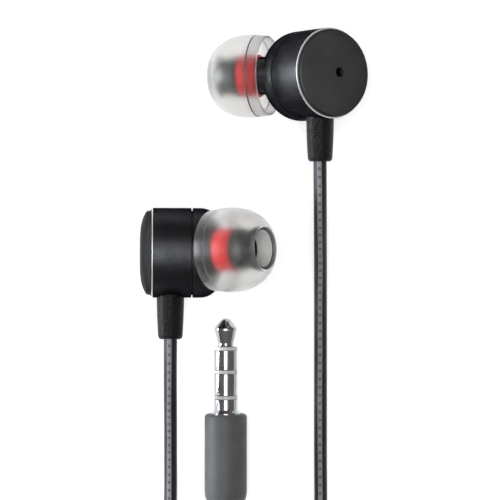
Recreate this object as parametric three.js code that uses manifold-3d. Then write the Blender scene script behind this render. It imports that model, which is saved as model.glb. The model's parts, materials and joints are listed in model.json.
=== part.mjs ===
// Wired in-ear earphones, lying on a table: two metal buds with silicone ear tips, an in-line remote,
// a Y splitter and a four-pole 3.5 mm plug. The spare cord is wound into a tied coil.
// Units are millimetres. +Z is up, and the table is z = 0. The origin is on the table, at the middle
// of the box that the two buds fill. +Y runs from the plug end towards the buds.

import * as THREE from 'three';
import { mergeVertices } from 'three/addons/utils/BufferGeometryUtils.js';
import Module from 'manifold-3d';

// ---------------------------------------------------------------- driving dimensions

// Bud. "Along" is measured on the barrel axis from the trim ring, positive towards the ear.
const BARREL_RADIUS = 6.5;
const BARREL_START = 0.18;
const BARREL_END = 5.75;
const BARREL_BORE = 5.7;
const SEAM_WIDTH = 0.2;
const SPIGOT_RADIUS = 6.1;
const SPIGOT_START = 4.95;
const HOUSING_CORNER_START = 7.1;
const HOUSING_CORNER_RADIUS = 2.8;
const HOUSING_BORE = 5.25;
const CAP_RADIUS = 6.1;
const CAP_EDGE = -0.7;
const CAP_CROWN = 1.0;
const CAP_CROWN_POWER = 4.2;
const CAP_FOOT_RADIUS = 6.28;
const CAP_FOOT_START = -0.16;
const CAP_SPIGOT_RADIUS = 5.5;
const CAP_SPIGOT_END = 0.7;
const VENT_RADIUS = 0.66;
const RING_RADIUS = 6.47;
const RING_START = 0.02;
const RING_END = 0.15;

// Stem below the barrel, where the cord comes out.
const STEM_ALONG = 2.75;
const BOOT_LENGTH = 6.0;
const BOOT_TOP_RADIUS = 2.02;
const BOOT_END_RADIUS = 1.76;
const STEM_HOLE_RADIUS = 1.5;

// Nozzle. "Along" is measured on the nozzle axis from where it crosses the barrel axis.
const NOZZLE_ANGLE = THREE.MathUtils.degToRad(33);
const NOZZLE_CROSSING = 2.0;
const NOZZLE_RADIUS = 2.1;
const NOZZLE_LIP_RADIUS = 2.28;
const NOZZLE_COLLAR_RADIUS = 2.75;
const NOZZLE_COLLAR_START = 6.6;
const NOZZLE_COLLAR_END = 9.5;
const NOZZLE_END = 13.6;
const NOZZLE_BORE = 1.5;

// Ear tip. "Along" is measured on the nozzle axis from the tip's rear rim.
const TIP_REAR = 8.25;
const TIP_LENGTH = 8.5;
const TIP_RADIUS = 5.98;
const TIP_RIM_RADIUS = 5.76;
const TIP_WIDEST = 2.3;
const TIP_CREASE = 1.6;
const TIP_BORE = 2.35;
const TIP_CORE_RADIUS = 3.0;
const TIP_MOUTH_RADIUS = 2.8;
const TIP_NOSE_POWER = 2.6;
const TIP_MOUTH_ALONG = 8.1;
const BAND_START = 1.35;
const BAND_END = 4.0;
const BAND_RADIUS = 3.1;

// Where the two buds lie: the middle of each trim ring, and the turn about the stem.
const RIGHT_BUD_PLACE = [-14.7, -9.76, 6.87];
const RIGHT_BUD_TURN = THREE.MathUtils.degToRad(3);
const RIGHT_BUD_ROLL = THREE.MathUtils.degToRad(-4.5);
const LEFT_BUD_PLACE = [11.26, 15.85, 11.57];
const LEFT_BUD_TURN = THREE.MathUtils.degToRad(127);

// Plug. "Along" runs from the shoulder of the grip to the tip of the jack.
const JACK_RADIUS = 1.75;
const JACK_LENGTH = 14.0;
const GRIP_RADIUS = 3.1;
const GRIP_LENGTH = 11.9;
const GRIP_TAPER = 2.9;
const RELIEF_RADIUS = 2.12;
const RELIEF_LENGTH = 8.0;
const RELIEF_SLOTS = 4;
const RELIEF_PITCH = 1.7;
const FLARE_RADIUS = 2.12;
const FLARE_SEAT_RADIUS = 2.22;
const FLARE_SEAT_DEPTH = 0.4;
const PLUG_SHOULDER = [-4.0, -33.4, 3.12];

// Cord, coil and tie.
const CORD_RADIUS = 0.95;
const COIL_CENTRE = [0, -82];
const COIL_INNER = 7.5;
const COIL_OUTER = 15.35;
const COIL_BOTTOM = 0.55;
const COIL_TOP = 10.4;
const TIE_THICKNESS = 0.4;
const TIE_WIDTH = 4.0;
const TIE_CLEARANCE = 0.1;
const TIE_HOLE_CLEARANCE = 0.4;
const TIE_ANGLE = THREE.MathUtils.degToRad(200);

// In-line remote and Y splitter.
const REMOTE_CENTRE = [0, -106, 2.75];
const REMOTE_LENGTH = 28;
const REMOTE_WIDTH = 7.2;
const REMOTE_HALF_HEIGHT = 2.65;
const BUTTON_LENGTH = 9;
const BUTTON_WIDTH = 3.6;
const SPLITTER_CENTRE = [2.6, -82, 2.4];
const SPLITTER_SIZE = [5.0, 9.0, 3.4];

// Routes of the cord where it isn't coiled.
const LEFT_ROUTE = [
  [9.6, 3.1, 9.43], [9.62, 0, 9.3], [9.68, -4, 8.1], [9.8, -9, 5.2], [9.9, -14, 2.7], [9.95, -19, 1.4],
  [9.96, -24, 1.0], [9.96, -32, 1.0], [9.96, -40, 1.0], [10.0, -48, 1.0], [9.9, -55, 1.0],
  [8.5, -61, 1.1], [5.2, -65.6, 1.3],
];
const RIGHT_UPPER_ROUTE = [
  [-11.93, -22.6, 7.74], [-11.95, -25.5, 7.7], [-12.0, -30, 6.2], [-12.08, -35, 3.5], [-12.15, -40, 1.6],
  [-12.18, -45, 1.0], [-12.4, -51, 1.0], [-13.9, -58, 1.0], [-16.4, -66, 1.0], [-18.4, -75, 1.0],
  [-19.2, -84, 1.0], [-19.3, -92, 1.0], [-19.0, -98, 1.2], [-18.0, -102.3, 1.9], [-16.3, -105.0, 2.6],
  [-14.3, -106, 2.75],
];
const RIGHT_LOWER_ROUTE = [
  [14.3, -106, 2.75], [16.5, -105.2, 2.5], [18.7, -102.6, 1.9], [19.5, -98.2, 1.5],
  [19.0, -93, 2.0], [17.3, -87.6, 2.7],
];
const MAIN_ROUTE = [
  [6.4, -66.7, 8.2], [2.8, -63.6, 6.4], [-0.9, -60.9, 4.6], [-3.2, -58.8, 3.5], [-4.0, -56.5, 3.12],
];

// Facets round a circle, for what shows and for what is inside.
const FINE = 24;
const COARSE = 16;

// ---------------------------------------------------------------- finishes

const FINISHES = {
  anodised: { color: 0x1b1b1d, roughness: 0.32, metalness: 0.75 },
  bright_metal: { color: 0xe6e6e8, roughness: 0.16, metalness: 1.0 },
  matt_cap: { color: 0x2e2f30, roughness: 0.6, metalness: 0.1 },
  soft_black: { color: 0x1c1c1c, roughness: 0.75, metalness: 0.0 },
  silicone_clear: { color: 0xd4d5cc, roughness: 0.35, metalness: 0.0 },
  silicone_grey: { color: 0x4b4d50, roughness: 0.45, metalness: 0.0 },
  silicone_red: { color: 0xc4302e, roughness: 0.4, metalness: 0.0 },
  steel: { color: 0x9a9c9f, roughness: 0.3, metalness: 1.0 },
  magnet: { color: 0x6f7276, roughness: 0.25, metalness: 1.0 },
  copper: { color: 0xb8703a, roughness: 0.35, metalness: 1.0 },
  film: { color: 0xb9bcc0, roughness: 0.25, metalness: 0.2 },
  mesh: { color: 0x303236, roughness: 0.5, metalness: 0.8 },
  board: { color: 0x1f5a35, roughness: 0.45, metalness: 0.0 },
  cord: { color: 0x3c3e42, roughness: 0.7, metalness: 0.0 },
  nickel: { color: 0xd9dadb, roughness: 0.12, metalness: 1.0 },
  insulator: { color: 0xe9e9e6, roughness: 0.4, metalness: 0.0 },
  grip: { color: 0x5c5d60, roughness: 0.6, metalness: 0.0 },
  remote_plastic: { color: 0x222326, roughness: 0.5, metalness: 0.0 },
};

// ---------------------------------------------------------------- geometry helpers

const wasm = await Module();
wasm.setup();

// Merges shared vertices, drops slivers and turns the faces outwards.
function solid(geometry) {
  geometry.deleteAttribute('normal');
  geometry.deleteAttribute('uv');
  const merged = mergeVertices(geometry, 1e-4);
  const corners = merged.index.array;
  const kept = [];
  for (let i = 0; i < corners.length; i += 3) {
    const [a, b, c] = [corners[i], corners[i + 1], corners[i + 2]];
    if (a !== b && b !== c && c !== a) kept.push(a, b, c);
  }
  merged.setIndex(kept);
  if (signedVolume(merged) < 0) {
    for (let i = 0; i < kept.length; i += 3) [kept[i], kept[i + 1]] = [kept[i + 1], kept[i]];
    merged.setIndex(kept);
  }
  return merged;
}

function signedVolume(geometry) {
  const position = geometry.attributes.position;
  const corners = geometry.index.array;
  const [a, b, c] = [new THREE.Vector3(), new THREE.Vector3(), new THREE.Vector3()];
  let sum = 0;
  for (let i = 0; i < corners.length; i += 3) {
    a.fromBufferAttribute(position, corners[i]);
    b.fromBufferAttribute(position, corners[i + 1]);
    c.fromBufferAttribute(position, corners[i + 2]);
    sum += a.dot(b.cross(c)) / 6;
  }
  return sum;
}

function toManifold(geometry) {
  return new wasm.Manifold(new wasm.Mesh({
    numProp: 3,
    vertProperties: new Float32Array(geometry.attributes.position.array),
    triVerts: new Uint32Array(geometry.index.array),
  }));
}

function toGeometry(manifold) {
  const mesh = manifold.getMesh();
  const geometry = new THREE.BufferGeometry();
  geometry.setAttribute('position', new THREE.BufferAttribute(mesh.vertProperties, 3));
  geometry.setIndex(new THREE.BufferAttribute(mesh.triVerts, 1));
  return geometry;
}

// Joins the first list of solids and cuts the second list away.
function combine(joined, cut = []) {
  let result = toManifold(joined[0]);
  for (const piece of joined.slice(1)) result = result.add(toManifold(piece));
  for (const piece of cut) result = result.subtract(toManifold(piece));
  return toGeometry(result);
}

// A solid of revolution about +X from [along, radius] points, closed on the axis or on itself.
function lathe(profile, facets = FINE) {
  const points = profile.map(([along, radius]) => new THREE.Vector2(radius, along));
  const onAxis = profile[0][1] === 0 && profile[profile.length - 1][1] === 0;
  if (!onAxis) points.push(points[0].clone());
  const geometry = new THREE.LatheGeometry(points, facets);
  geometry.rotateZ(-Math.PI / 2);
  return solid(geometry);
}

// A plain rod, or a tube when it has an inner radius.
function rod(start, end, radius, inner = 0, facets = COARSE) {
  if (inner === 0) return lathe([[start, 0], [start, radius], [end, radius], [end, 0]], facets);
  return lathe([[start, inner], [start, radius], [end, radius], [end, inner]], facets);
}

// Points of a circular arc in [along, radius], by angles in degrees from the +along direction.
function arc(centreAlong, centreRadius, radius, from, to, steps) {
  const points = [];
  for (let i = 0; i <= steps; i += 1) {
    const angle = THREE.MathUtils.degToRad(from + ((to - from) * i) / steps);
    points.push([centreAlong + radius * Math.cos(angle), centreRadius + radius * Math.sin(angle)]);
  }
  return points;
}

// A flat plate with round ends along X and softened edges, from z = bottom to z = top.
function capsule(length, width, bottom, top, bevel, segments = 8) {
  const half = width / 2 - bevel;
  const straight = length / 2 - width / 2;
  const shape = new THREE.Shape();
  shape.absarc(straight, 0, half, -Math.PI / 2, Math.PI / 2, false);
  shape.absarc(-straight, 0, half, Math.PI / 2, Math.PI * 1.5, false);
  const geometry = new THREE.ExtrudeGeometry(shape, {
    depth: top - bottom - 2 * bevel,
    bevelEnabled: bevel > 0,
    bevelThickness: bevel,
    bevelSize: bevel,
    bevelSegments: 2,
    curveSegments: segments,
  });
  geometry.translate(0, 0, bottom + bevel);
  return solid(geometry);
}

function box(sizeX, sizeY, bottom, top, x = 0, y = 0) {
  const geometry = new THREE.BoxGeometry(sizeX, sizeY, top - bottom);
  geometry.translate(x, y, (bottom + top) / 2);
  return solid(geometry);
}

function part(name, geometry, finish) {
  const mesh = new THREE.Mesh(geometry, new THREE.MeshStandardMaterial(FINISHES[finish]));
  mesh.name = name;
  return mesh;
}

// ---------------------------------------------------------------- bud: shells

function rearCap() {
  const crown = [];
  for (const radius of [VENT_RADIUS, 2.2, 3.6, 4.7, 5.5, 5.95]) {
    const rise = CAP_CROWN * (1 - (radius / CAP_RADIUS) ** CAP_CROWN_POWER);
    crown.push([CAP_EDGE - rise, radius]);
  }
  return lathe([
    ...crown,
    [CAP_EDGE + 0.12, CAP_RADIUS],
    [CAP_FOOT_START, CAP_RADIUS],
    [CAP_FOOT_START, CAP_FOOT_RADIUS],
    [-0.01, CAP_FOOT_RADIUS],
    [-0.01, CAP_SPIGOT_RADIUS],
    [CAP_SPIGOT_END, CAP_SPIGOT_RADIUS],
    [CAP_SPIGOT_END, CAP_SPIGOT_RADIUS - 0.5],
    [-0.4, CAP_SPIGOT_RADIUS - 0.5],
    [-0.95, 3.0],
    [-1.0, VENT_RADIUS],
  ]);
}

function trimRing() {
  return lathe([
    [RING_START, 5.6], [RING_START, RING_RADIUS - 0.06], [RING_START + 0.06, RING_RADIUS], [RING_END, RING_RADIUS],
    [RING_END, 5.6],
  ]);
}

function barrel() {
  const shell = lathe([
    [BARREL_START, BARREL_BORE],
    [BARREL_START, BARREL_RADIUS - 0.05],
    [BARREL_START + 0.05, BARREL_RADIUS],
    [BARREL_END - 0.1, BARREL_RADIUS],
    [BARREL_END, BARREL_RADIUS - 0.1],
    [BARREL_END, SPIGOT_RADIUS + 0.06],
    [SPIGOT_START - 0.1, SPIGOT_RADIUS + 0.06],
    [SPIGOT_START - 0.1, BARREL_BORE],
  ]);
  return combine([shell], [stem([[4, 0], [4, STEM_HOLE_RADIUS], [8, STEM_HOLE_RADIUS], [8, 0]])]);
}

// A solid of revolution hanging down the stem's axis, from [depth, radius] points.
function stem(profile) {
  const geometry = lathe(profile, COARSE);
  geometry.rotateZ(-Math.PI / 2);
  geometry.translate(STEM_ALONG, 0, 0);
  return geometry;
}

// Turns a solid made on the +X axis onto the nozzle's axis.
function onNozzle(geometry, side) {
  geometry.rotateY(-side * NOZZLE_ANGLE);
  geometry.translate(NOZZLE_CROSSING, 0, 0);
  return geometry;
}

function frontHousing(side) {
  const flange = BARREL_END + SEAM_WIDTH;
  const cornerCentre = BARREL_RADIUS - HOUSING_CORNER_RADIUS;
  const body = lathe([
    [SPIGOT_START, 0],
    [SPIGOT_START, SPIGOT_RADIUS],
    [flange, SPIGOT_RADIUS],
    [flange, BARREL_RADIUS - 0.1],
    [flange + 0.1, BARREL_RADIUS],
    ...arc(HOUSING_CORNER_START, cornerCentre, HOUSING_CORNER_RADIUS, 90, 0, 6),
    [HOUSING_CORNER_START + HOUSING_CORNER_RADIUS, 0],
  ]);
  const nozzle = lathe([
    [NOZZLE_COLLAR_START, 0],
    [NOZZLE_COLLAR_START, NOZZLE_COLLAR_RADIUS],
    [NOZZLE_COLLAR_END, NOZZLE_COLLAR_RADIUS],
    [NOZZLE_COLLAR_END, NOZZLE_RADIUS],
    [NOZZLE_END - 0.6, NOZZLE_RADIUS],
    [NOZZLE_END - 0.35, NOZZLE_LIP_RADIUS],
    [NOZZLE_END - 0.1, NOZZLE_LIP_RADIUS],
    [NOZZLE_END, NOZZLE_LIP_RADIUS - 0.1],
    [NOZZLE_END, 0],
  ], COARSE);
  const chamber = lathe([
    [SPIGOT_START - 1, 0],
    [SPIGOT_START - 1, HOUSING_BORE],
    [7.9, HOUSING_BORE],
    [7.9, 4.7],
    [8.4, 4.2],
    [8.9, 3.2],
    [8.9, 0],
  ]);
  const soundBore = rod(6.5, NOZZLE_END + 1, NOZZLE_BORE);
  const screenSeat = rod(NOZZLE_END - 0.4, NOZZLE_END + 1, NOZZLE_BORE + 0.4);
  return combine(
    [body, onNozzle(nozzle, side)],
    [chamber, onNozzle(soundBore, side), onNozzle(screenSeat, side)],
  );
}

function strainRelief() {
  const boot = stem([
    [5.4, 0],
    [5.4, BOOT_TOP_RADIUS],
    [BARREL_RADIUS, BOOT_TOP_RADIUS],
    [BARREL_RADIUS + BOOT_LENGTH - 0.2, BOOT_END_RADIUS],
    [BARREL_RADIUS + BOOT_LENGTH, BOOT_END_RADIUS - 0.2],
    [BARREL_RADIUS + BOOT_LENGTH, 0],
  ]);
  const barrelSpace = rod(-2, 9, BARREL_RADIUS + 0.05, 0, FINE);
  const plugThroughWall = stem([
    [4.7, 0], [4.7, 1.9], [5.25, 1.9], [5.25, 1.4], [BARREL_RADIUS + 1, 1.4], [BARREL_RADIUS + 1, 0],
  ]);
  const outside = toManifold(boot).subtract(toManifold(barrelSpace));
  return toGeometry(outside.add(toManifold(plugThroughWall)));
}

// ---------------------------------------------------------------- bud: driver inside

function driverFrame() {
  return lathe([
    [5.5, 3.58], [5.5, 5.15], [7.85, 5.15], [7.85, 4.8], [7.1, 4.8], [7.1, 4.45], [6.2, 4.45], [6.2, 3.58],
  ], COARSE);
}

function driverYoke() {
  return lathe([
    [4.6, 0.5], [4.6, 3.5], [6.8, 3.5], [6.8, 3.05], [5.2, 3.05], [5.2, 0.5],
  ], COARSE);
}

// The cone and its roll surround, as one thin shell.
function diaphragm() {
  const film = 0.1;
  const front = [
    [7.26, 4.72], [7.32, 4.5], [7.62, 3.8], [7.34, 3.05], [7.6, 2.2], [7.84, 1.1], [7.9, 0],
  ];
  const back = front.map(([along, radius]) => [along - film, radius]).reverse();
  return lathe([...back, ...front], COARSE);
}

function terminalBoard() {
  const geometry = new THREE.BoxGeometry(0.4, 1.6, 5.0);
  geometry.translate(4.3, 2.9, 0);
  return solid(geometry);
}

function cordKnot() {
  const geometry = new THREE.SphereGeometry(1.3, 12, 8);
  geometry.translate(STEM_ALONG - 0.05, -3.2, 0);
  return solid(geometry);
}

// ---------------------------------------------------------------- ear tip

function tipDome() {
  const outer = [[0, TIP_RIM_RADIUS - 0.28], [0, TIP_RIM_RADIUS], [TIP_CREASE, TIP_RADIUS - 0.1],
    [TIP_CREASE + 0.06, TIP_RADIUS - 0.03]];
  const inner = [];
  const outerLength = 6.6;
  const innerLength = 5.9;
  const innerRadius = TIP_RADIUS - 0.5;
  const nose = (radius, length, along) => (
    radius * (1 - ((along - TIP_WIDEST) / length) ** TIP_NOSE_POWER) ** (1 / TIP_NOSE_POWER)
  );
  for (const along of [2.3, 3.8, 5.1, 6.2, 7.1, 7.8, 8.25]) {
    outer.push([along, nose(TIP_RADIUS, outerLength, along)]);
  }
  outer.push([TIP_LENGTH - 0.02, 3.15], [TIP_LENGTH - 0.1, 2.92]);
  for (const along of [7.3, 6.7, 6.0, 5.0, 3.8, 2.3]) {
    inner.push([along, nose(innerRadius, innerLength, along)]);
  }
  const mouth = [[TIP_MOUTH_ALONG, TIP_MOUTH_RADIUS + 0.05], [7.4, TIP_MOUTH_RADIUS + 0.05]];
  return lathe([...outer, ...mouth, ...inner], FINE);
}

function tipCore() {
  return lathe([
    [BAND_END + 0.05, TIP_BORE],
    [BAND_END + 0.05, TIP_CORE_RADIUS],
    [5.1, TIP_CORE_RADIUS],
    [5.9, TIP_CORE_RADIUS - 0.36],
    [6.7, TIP_CORE_RADIUS - 0.34],
    [7.3, TIP_MOUTH_RADIUS - 0.04],
    [TIP_MOUTH_ALONG - 0.1, TIP_MOUTH_RADIUS],
    [TIP_MOUTH_ALONG, TIP_MOUTH_RADIUS - 0.12],
    [TIP_MOUTH_ALONG - 0.1, TIP_MOUTH_RADIUS - 0.3],
    [6.2, TIP_BORE + 0.03],
    [5.7, TIP_BORE],
  ]);
}

function tipBand() {
  return lathe([
    [BAND_START, TIP_BORE], [BAND_START, BAND_RADIUS - 0.1], [BAND_START + 0.1, BAND_RADIUS],
    [BAND_END, BAND_RADIUS], [BAND_END, TIP_BORE],
  ]);
}

// ---------------------------------------------------------------- bud assembly

// side is +1 for the right bud and -1 for the left, which is its mirror image.
function bud(prefix, side, place, turn, roll) {
  const group = new THREE.Group();
  group.position.set(...place);
  group.rotation.set(roll, turn, 0);
  group.add(
    part(`${prefix}_rear_cap`, rearCap(), 'matt_cap'),
    part(`${prefix}_vent_screen`, rod(-0.93, -0.83, 1.3), 'mesh'),
    part(`${prefix}_trim_ring`, trimRing(), 'bright_metal'),
    part(`${prefix}_barrel`, barrel(), 'anodised'),
    part(`${prefix}_front_housing`, frontHousing(side), 'anodised'),
    part(`${prefix}_strain_relief`, strainRelief(), 'soft_black'),
    part(`${prefix}_cord_knot`, cordKnot(), 'cord'),
    part(`${prefix}_driver_frame`, driverFrame(), 'remote_plastic'),
    part(`${prefix}_driver_yoke`, driverYoke(), 'steel'),
    part(`${prefix}_driver_magnet`, rod(5.25, 6.35, 2.45, 0.5), 'magnet'),
    part(`${prefix}_driver_top_plate`, rod(6.4, 6.8, 2.5, 0.5), 'steel'),
    part(`${prefix}_voice_coil`, rod(6.1, 7.18, 2.88, 2.68), 'copper'),
    part(`${prefix}_diaphragm`, diaphragm(), 'film'),
    part(`${prefix}_terminal_board`, terminalBoard(), 'board'),
  );
  const nozzle = new THREE.Group();
  nozzle.position.x = NOZZLE_CROSSING;
  nozzle.rotation.y = -side * NOZZLE_ANGLE;
  nozzle.add(part(`${prefix}_nozzle_screen`, rod(NOZZLE_END - 0.35, NOZZLE_END - 0.25, 1.8), 'mesh'));
  const tip = new THREE.Group();
  tip.position.x = TIP_REAR;
  tip.add(
    part(`${prefix}_eartip_dome`, tipDome(), 'silicone_clear'),
    part(`${prefix}_eartip_core`, tipCore(), 'silicone_grey'),
    part(`${prefix}_eartip_band`, tipBand(), 'silicone_red'),
  );
  nozzle.add(tip);
  group.add(nozzle);
  return group;
}

// ---------------------------------------------------------------- plug

// Stations along the jack, from the shoulder at 0 to the tip.
const JACK_STATIONS = {
  sleeve: [0.15, 2.2],
  rearInsulator: [2.2, 2.7],
  ringTwo: [2.7, 5.95],
  middleInsulator: [5.95, 6.45],
  ringOne: [6.45, 9.35],
  frontInsulator: [9.35, 9.85],
  tip: [9.85, JACK_LENGTH],
};
const JACK_PIN_RADIUS = 0.55;
const INSULATOR_BORE = 0.62;
const INSULATOR_TAIL = 1.1;
const FACE_GAP = 0.03;

function jackTip() {
  const [start, end] = JACK_STATIONS.tip;
  return lathe([
    [-3.0, 0],
    [-3.0, JACK_PIN_RADIUS],
    [start + FACE_GAP, JACK_PIN_RADIUS],
    [start + FACE_GAP, 1.25],
    [start + 0.35, 1.12],
    [start + 2.3, JACK_RADIUS - 0.1],
    [start + 2.7, JACK_RADIUS - 0.02],
    [end - 0.7, 1.2],
    [end - 0.2, 0.62],
    [end, 0],
  ], COARSE);
}

function jackRing([start, end]) {
  return rod(start + FACE_GAP, end - FACE_GAP, JACK_RADIUS, INSULATOR_TAIL + 0.05);
}

// A band that shows between two contacts, with a tail that lines the contact behind it.
function jackInsulator([start, end], tailStart) {
  return lathe([
    [tailStart + FACE_GAP, INSULATOR_BORE],
    [tailStart + FACE_GAP, INSULATOR_TAIL],
    [start, INSULATOR_TAIL],
    [start, JACK_RADIUS - 0.04],
    [end, JACK_RADIUS - 0.04],
    [end, INSULATOR_BORE],
  ], COARSE);
}

function jackSleeve() {
  const [start, end] = JACK_STATIONS.sleeve;
  const bore = INSULATOR_TAIL + 0.05;
  return lathe([
    [-2.5, bore], [-2.5, JACK_RADIUS - 0.1], [-0.3, JACK_RADIUS - 0.1], [-0.3, FLARE_RADIUS],
    [start, FLARE_RADIUS], [start + 0.45, JACK_RADIUS], [end - FACE_GAP, JACK_RADIUS], [end - FACE_GAP, bore],
  ], COARSE);
}

function plugGrip() {
  const taperStart = -GRIP_LENGTH;
  const reliefStart = taperStart - GRIP_TAPER;
  const reliefEnd = reliefStart - RELIEF_LENGTH;
  const body = lathe([
    [reliefEnd, 0],
    [reliefEnd, RELIEF_RADIUS - 0.25],
    [reliefEnd + 0.2, RELIEF_RADIUS - 0.05],
    [reliefStart, RELIEF_RADIUS],
    [taperStart - 1.1, GRIP_RADIUS - 0.42],
    [taperStart, GRIP_RADIUS],
    [-0.25, GRIP_RADIUS],
    [0, GRIP_RADIUS - 0.25],
    [0, 0],
  ]);
  const socket = rod(-3.2, 1, JACK_RADIUS + 0.05);
  const flareSeat = rod(-FLARE_SEAT_DEPTH, 1, FLARE_SEAT_RADIUS);
  const slots = [];
  for (let i = 0; i < RELIEF_SLOTS; i += 1) {
    const along = reliefStart - 1.0 - i * RELIEF_PITCH;
    for (const side of [-1, 1]) {
      const slot = new THREE.BoxGeometry(0.75, 2.0, 6);
      slot.translate(along, side * (1.05 + 1.0), 0);
      slots.push(solid(slot));
    }
  }
  return combine([body], [socket, flareSeat, ...slots]);
}

function plug() {
  const group = new THREE.Group();
  group.position.set(...PLUG_SHOULDER);
  group.rotation.z = Math.PI / 2;
  const stations = JACK_STATIONS;
  group.add(
    part('plug_tip', jackTip(), 'nickel'),
    part('plug_insulator_front', jackInsulator(stations.frontInsulator, stations.ringOne[0]), 'insulator'),
    part('plug_ring_one', jackRing(stations.ringOne), 'nickel'),
    part('plug_insulator_middle', jackInsulator(stations.middleInsulator, stations.ringTwo[0]), 'insulator'),
    part('plug_ring_two', jackRing(stations.ringTwo), 'nickel'),
    part('plug_insulator_rear', jackInsulator(stations.rearInsulator, -2.4), 'insulator'),
    part('plug_sleeve', jackSleeve(), 'nickel'),
    part('plug_grip', plugGrip(), 'grip'),
  );
  return group;
}

// ---------------------------------------------------------------- in-line remote and splitter

function remoteShell(topSide) {
  const wall = 0.7;
  const [bottom, top] = topSide ? [0.03, REMOTE_HALF_HEIGHT] : [-REMOTE_HALF_HEIGHT, -0.03];
  const outside = capsule(REMOTE_LENGTH, REMOTE_WIDTH, -REMOTE_HALF_HEIGHT, REMOTE_HALF_HEIGHT, 0.9);
  const otherHalf = topSide ? [-5, bottom] : [top, 5];
  const floor = REMOTE_HALF_HEIGHT - wall;
  const cuts = [
    box(40, 20, otherHalf[0], otherHalf[1]),
    capsule(REMOTE_LENGTH - 2.4, REMOTE_WIDTH - 2 * wall, -floor, floor, 0.3),
    rod(-20, 20, CORD_RADIUS + 0.1),
  ];
  if (topSide) {
    cuts.push(capsule(BUTTON_LENGTH + 0.3, BUTTON_WIDTH + 0.3, 1, 5, 0));
    const microphoneHole = new THREE.CylinderGeometry(0.5, 0.5, 4, 12);
    microphoneHole.rotateX(Math.PI / 2);
    microphoneHole.translate(9.2, 0, 3);
    cuts.push(solid(microphoneHole));
  }
  return combine([outside], cuts);
}

function remoteButton() {
  return combine([
    capsule(BUTTON_LENGTH, BUTTON_WIDTH, 1.7, REMOTE_HALF_HEIGHT + 0.55, 0.2),
    capsule(BUTTON_LENGTH + 1.0, BUTTON_WIDTH + 0.9, 1.5, 1.9, 0),
  ]);
}

function remoteSwitch() {
  const plunger = new THREE.CylinderGeometry(0.7, 0.7, 0.6, 12);
  plunger.rotateX(Math.PI / 2);
  plunger.translate(0, 0, 0.75);
  return combine([box(3, 3, 0.05, 0.85), solid(plunger)]);
}

function remote() {
  const group = new THREE.Group();
  group.position.set(...REMOTE_CENTRE);
  group.add(
    part('remote_top_shell', remoteShell(true), 'remote_plastic'),
    part('remote_bottom_shell', remoteShell(false), 'remote_plastic'),
    part('remote_button', remoteButton(), 'grip'),
    part('remote_board', box(18, 4.4, -0.6, 0), 'board'),
    part('remote_switch', remoteSwitch(), 'steel'),
    part('remote_microphone', box(2.8, 2.8, 0.05, 1.1, 8.2), 'magnet'),
  );
  return group;
}

function splitter() {
  const [width, length, height] = SPLITTER_SIZE;
  const body = capsule(length, width, -height / 2, height / 2, 0.7);
  const mesh = part('splitter_body', body, 'remote_plastic');
  mesh.rotation.z = Math.PI / 2;
  mesh.position.set(...SPLITTER_CENTRE);
  return mesh;
}

// ---------------------------------------------------------------- cord, coil and tie

function cordTube(name, route) {
  const sides = 8;
  const shape = new THREE.Shape();
  for (let i = 0; i < sides; i += 1) {
    const angle = (2 * Math.PI * (i + 0.5)) / sides;
    const [x, y] = [CORD_RADIUS * Math.cos(angle), CORD_RADIUS * Math.sin(angle)];
    if (i === 0) shape.moveTo(x, y);
    else shape.lineTo(x, y);
  }
  shape.closePath();
  const path = new THREE.CatmullRomCurve3(route.map((point) => new THREE.Vector3(...point)));
  const steps = Math.ceil(path.getLength() / (5 * CORD_RADIUS));
  return part(name, solid(new THREE.ExtrudeGeometry(shape, { steps, extrudePath: path })), 'cord');
}

function cordCoil() {
  const geometry = lathe([
    [COIL_BOTTOM, COIL_INNER], [COIL_BOTTOM, COIL_OUTER], [COIL_TOP, COIL_OUTER], [COIL_TOP, COIL_INNER],
  ]);
  geometry.rotateY(-Math.PI / 2);
  const mesh = part('cord_coil', geometry, 'cord');
  mesh.position.set(...COIL_CENTRE, 0);
  return mesh;
}

// A strap that goes round the coil's section, through the middle of the coil and under it.
function cordTie() {
  const outline = (grow) => {
    const [left, right] = [COIL_INNER - TIE_HOLE_CLEARANCE - grow, COIL_OUTER + TIE_CLEARANCE + grow];
    const [low, high] = [COIL_BOTTOM - TIE_CLEARANCE - grow, COIL_TOP + TIE_CLEARANCE + grow];
    return [[left, low], [right, low], [right, high], [left, high]].map((p) => new THREE.Vector2(...p));
  };
  const shape = new THREE.Shape(outline(TIE_THICKNESS));
  shape.holes.push(new THREE.Path(outline(0).reverse()));
  const geometry = new THREE.ExtrudeGeometry(shape, { depth: TIE_WIDTH, bevelEnabled: false });
  geometry.translate(0, 0, -TIE_WIDTH / 2);
  geometry.rotateX(Math.PI / 2);
  const mesh = part('cord_tie', solid(geometry), 'soft_black');
  mesh.rotation.z = TIE_ANGLE;
  mesh.position.set(...COIL_CENTRE, 0);
  return mesh;
}

// ---------------------------------------------------------------- the whole object

const earphones = new THREE.Group();
earphones.add(
  bud('right', 1, RIGHT_BUD_PLACE, RIGHT_BUD_TURN, RIGHT_BUD_ROLL),
  bud('left', -1, LEFT_BUD_PLACE, LEFT_BUD_TURN, 0),
  plug(),
  remote(),
  splitter(),
  cordTube('left_cord', LEFT_ROUTE),
  cordTube('right_cord_upper', RIGHT_UPPER_ROUTE),
  cordTube('right_cord_lower', RIGHT_LOWER_ROUTE),
  cordTube('main_cord', MAIN_ROUTE),
  cordCoil(),
  cordTie(),
);

export default earphones;
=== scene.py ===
"""Wired earphones: two canal earphones with silicone tips, a four-pole plug and their cord."""

import json
import math

import bpy
from mathutils import Matrix, Vector


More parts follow.
